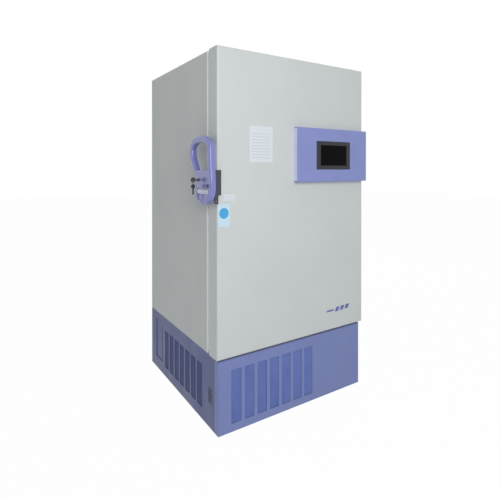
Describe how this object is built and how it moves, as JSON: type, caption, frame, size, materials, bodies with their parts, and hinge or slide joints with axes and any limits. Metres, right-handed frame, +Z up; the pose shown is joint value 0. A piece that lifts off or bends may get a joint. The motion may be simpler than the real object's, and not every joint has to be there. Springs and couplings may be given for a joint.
{
  "type": "ultra low temperature freezer",
  "caption": "Upright laboratory freezer: insulated cabinet with outer door, side latch lever with lock, touch screen panel, inner doors and shelves, on a ventilated machine base with casters.",
  "frame": {"origin": "on the floor, in the middle of the footprint's bounding rectangle", "axes": "+X to the viewer's right when facing the door, +Y to the rear, +Z up"},
  "size_m": [1.134, 1.038, 1.98],
  "materials": {
    "pale_steel": "satin powder coat",
    "liner_steel": "satin powder coat",
    "rigid_foam": "rigid foam",
    "pale_plastic": "moulded, matt",
    "seal_rubber": "soft, matt",
    "copper_tube": "drawn tube",
    "shelf_steel": "brushed",
    "hinge_steel": "brushed",
    "black_rubber": "matt",
    "frame_steel": "satin powder coat",
    "violet_steel": "satin powder coat",
    "violet_plastic": "moulded, satin",
    "filter_mat": "open mat",
    "black_plastic": "moulded, matt",
    "fin_aluminium": "rolled",
    "compressor_paint": "gloss paint",
    "insulation_sleeve": "closed foam",
    "box_plastic": "moulded, matt",
    "bezel_plastic": "moulded, satin",
    "screen_glass": "polished",
    "board_green": "laminate",
    "inlay_plastic": "gloss",
    "lock_chrome": "polished",
    "key_steel": "nickel",
    "bracket_dark": "satin paint",
    "foamed_panel": "white skin on foam",
    "zinc_steel": "zinc plate",
    "wheel_nylon": "moulded"
  },
  "bodies": {
    "cabinet": {"cabinet_shell": "pale_steel", "cabinet_back_panel": "pale_steel", "cabinet_foam": "rigid_foam", "inner_liner": "liner_steel", "breaker_collar": "pale_plastic", "evaporator_coil": "copper_tube", "shelves": "shelf_steel", "inner_hinge_brackets": "hinge_steel", "access_port": "black_rubber", "wall_bumpers": "black_rubber", "hinge_brackets": "hinge_steel", "striker": "hinge_steel", "base_frame": "frame_steel", "base_side_left": "violet_steel", "base_side_right": "violet_steel", "rear_cover": "violet_steel", "cord_gland": "black_plastic", "switch_plate": "black_plastic", "condenser": "fin_aluminium", "fan_housing": "frame_steel", "compressor_first_stage": "compressor_paint", "compressor_second_stage": "compressor_paint", "cascade_exchanger": "insulation_sleeve", "refrigerant_lines": "copper_tube", "electrical_box": "box_plastic", "panel_screws": "zinc_steel"},
    "door": {"door_skin": "pale_steel", "door_foam": "rigid_foam", "door_inner_panel": "pale_plastic", "door_seal": "seal_rubber", "hinge_leaves": "hinge_steel", "control_housing": "violet_plastic", "display_bezel": "bezel_plastic", "display_glass": "screen_glass", "control_board": "board_green", "port_cap": "black_rubber", "lever_bracket": "bracket_dark"},
    "lever": {"lever": "violet_plastic", "lever_inlay": "inlay_plastic", "latch_hook": "hinge_steel", "lock_cylinder": "lock_chrome"},
    "key": {"key": "key_steel"},
    "hanging_key": {"hanging_key": "key_steel"},
    "inner_door_upper": {"inner_door_upper": "foamed_panel"},
    "inner_door_lower": {"inner_door_lower": "foamed_panel"},
    "front_grille": {"front_grille": "violet_steel", "air_filter": "filter_mat"},
    "fan": {"fan_blades": "fin_aluminium"},
    "power_switch": {"power_switch": "black_plastic"},
    "alarm_switch": {"alarm_switch": "black_plastic"},
    "foot_left": {"levelling_foot_left": "zinc_steel"},
    "foot_right": {"levelling_foot_right": "zinc_steel"},
    "caster_front_left": {"caster_fork_front_left": "zinc_steel"},
    "wheel_front_left": {"caster_wheel_front_left": "wheel_nylon"},
    "caster_front_right": {"caster_fork_front_right": "zinc_steel"},
    "wheel_front_right": {"caster_wheel_front_right": "wheel_nylon"},
    "caster_rear_left": {"caster_fork_rear_left": "zinc_steel"},
    "wheel_rear_left": {"caster_wheel_rear_left": "wheel_nylon"},
    "caster_rear_right": {"caster_fork_rear_right": "zinc_steel"},
    "wheel_rear_right": {"caster_wheel_rear_right": "wheel_nylon"}
  },
  "joints": [
    {"name": "door_swing", "type": "hinge", "parent": "cabinet", "child": "door", "pos_m": [0.554, -0.368, 1.189], "axis": [0, 0, 1], "range_deg": [0, 110]},
    {"name": "inner_door_lower_swing", "type": "hinge", "parent": "cabinet", "child": "inner_door_lower", "pos_m": [0.392, -0.312, 0.8645], "axis": [0, 0, 1], "range_deg": [0, 93.5]},
    {"name": "inner_door_upper_swing", "type": "hinge", "parent": "cabinet", "child": "inner_door_upper", "pos_m": [0.392, -0.312, 1.5135], "axis": [0, 0, 1], "range_deg": [0, 93.5]},
    {"name": "lever_turn", "type": "hinge", "parent": "door", "child": "lever", "pos_m": [-0.508, -0.486, 1.28], "axis": [1, 0, 0], "range_deg": [-6, 60]},
    {"name": "key_turn", "type": "hinge", "parent": "lever", "child": "key", "pos_m": [-0.523, -0.385, 1.308], "axis": [-1, 0, 0], "range_deg": [-90, 0]},
    {"name": "hanging_key_swing", "type": "hinge", "parent": "key", "child": "hanging_key", "pos_m": [-0.554, -0.385, 1.299], "axis": [0, 1, 0], "range_deg": [-20, 20]},
    {"name": "grille_swing", "type": "hinge", "parent": "cabinet", "child": "front_grille", "pos_m": [0.542, -0.4315, 0.21], "axis": [0, 0, 1], "range_deg": [0, 100]},
    {"name": "fan_spin", "type": "hinge", "parent": "cabinet", "child": "fan", "pos_m": [-0.118, -0.336, 0.213], "axis": [0, 1, 0], "continuous": true},
    {"name": "alarm_switch_rock", "type": "hinge", "parent": "cabinet", "child": "alarm_switch", "pos_m": [-0.457, -0.3855, 0.173], "axis": [0, -1, 0], "range_deg": [-16, 0]},
    {"name": "power_switch_rock", "type": "hinge", "parent": "cabinet", "child": "power_switch", "pos_m": [-0.457, -0.3855, 0.209], "axis": [0, -1, 0], "range_deg": [-16, 0]},
    {"name": "foot_left_turn", "type": "hinge", "parent": "cabinet", "child": "foot_left", "pos_m": [-0.415, -0.401, 0.076], "axis": [0, 0, 1], "continuous": true},
    {"name": "foot_right_turn", "type": "hinge", "parent": "cabinet", "child": "foot_right", "pos_m": [0.493, -0.401, 0.076], "axis": [0, 0, 1], "continuous": true},
    {"name": "caster_front_left_swivel", "type": "hinge", "parent": "cabinet", "child": "caster_front_left", "pos_m": [-0.35, -0.361, 0.076], "axis": [0, 0, 1], "continuous": true},
    {"name": "wheel_front_left_roll", "type": "hinge", "parent": "caster_front_left", "child": "wheel_front_left", "pos_m": [-0.35, -0.341, 0.025], "axis": [1, 0, 0], "continuous": true},
    {"name": "caster_front_right_swivel", "type": "hinge", "parent": "cabinet", "child": "caster_front_right", "pos_m": [0.428, -0.361, 0.076], "axis": [0, 0, 1], "continuous": true},
    {"name": "wheel_front_right_roll", "type": "hinge", "parent": "caster_front_right", "child": "wheel_front_right", "pos_m": [0.428, -0.341, 0.025], "axis": [1, 0, 0], "continuous": true},
    {"name": "caster_rear_left_swivel", "type": "hinge", "parent": "cabinet", "child": "caster_rear_left", "pos_m": [-0.35, 0.392, 0.076], "axis": [0, 0, 1], "continuous": true},
    {"name": "wheel_rear_left_roll", "type": "hinge", "parent": "caster_rear_left", "child": "wheel_rear_left", "pos_m": [-0.35, 0.412, 0.025], "axis": [1, 0, 0], "continuous": true},
    {"name": "caster_rear_right_swivel", "type": "hinge", "parent": "cabinet", "child": "caster_rear_right", "pos_m": [0.428, 0.392, 0.076], "axis": [0, 0, 1], "continuous": true},
    {"name": "wheel_rear_right_roll", "type": "hinge", "parent": "caster_rear_right", "child": "wheel_rear_right", "pos_m": [0.428, 0.412, 0.025], "axis": [1, 0, 0], "continuous": true}
  ],
  "couplings": [
    {"joint": "inner_door_lower_swing", "follows": "door_swing", "ratio": 0.85},
    {"joint": "inner_door_upper_swing", "follows": "door_swing", "ratio": 0.85}
  ]
}
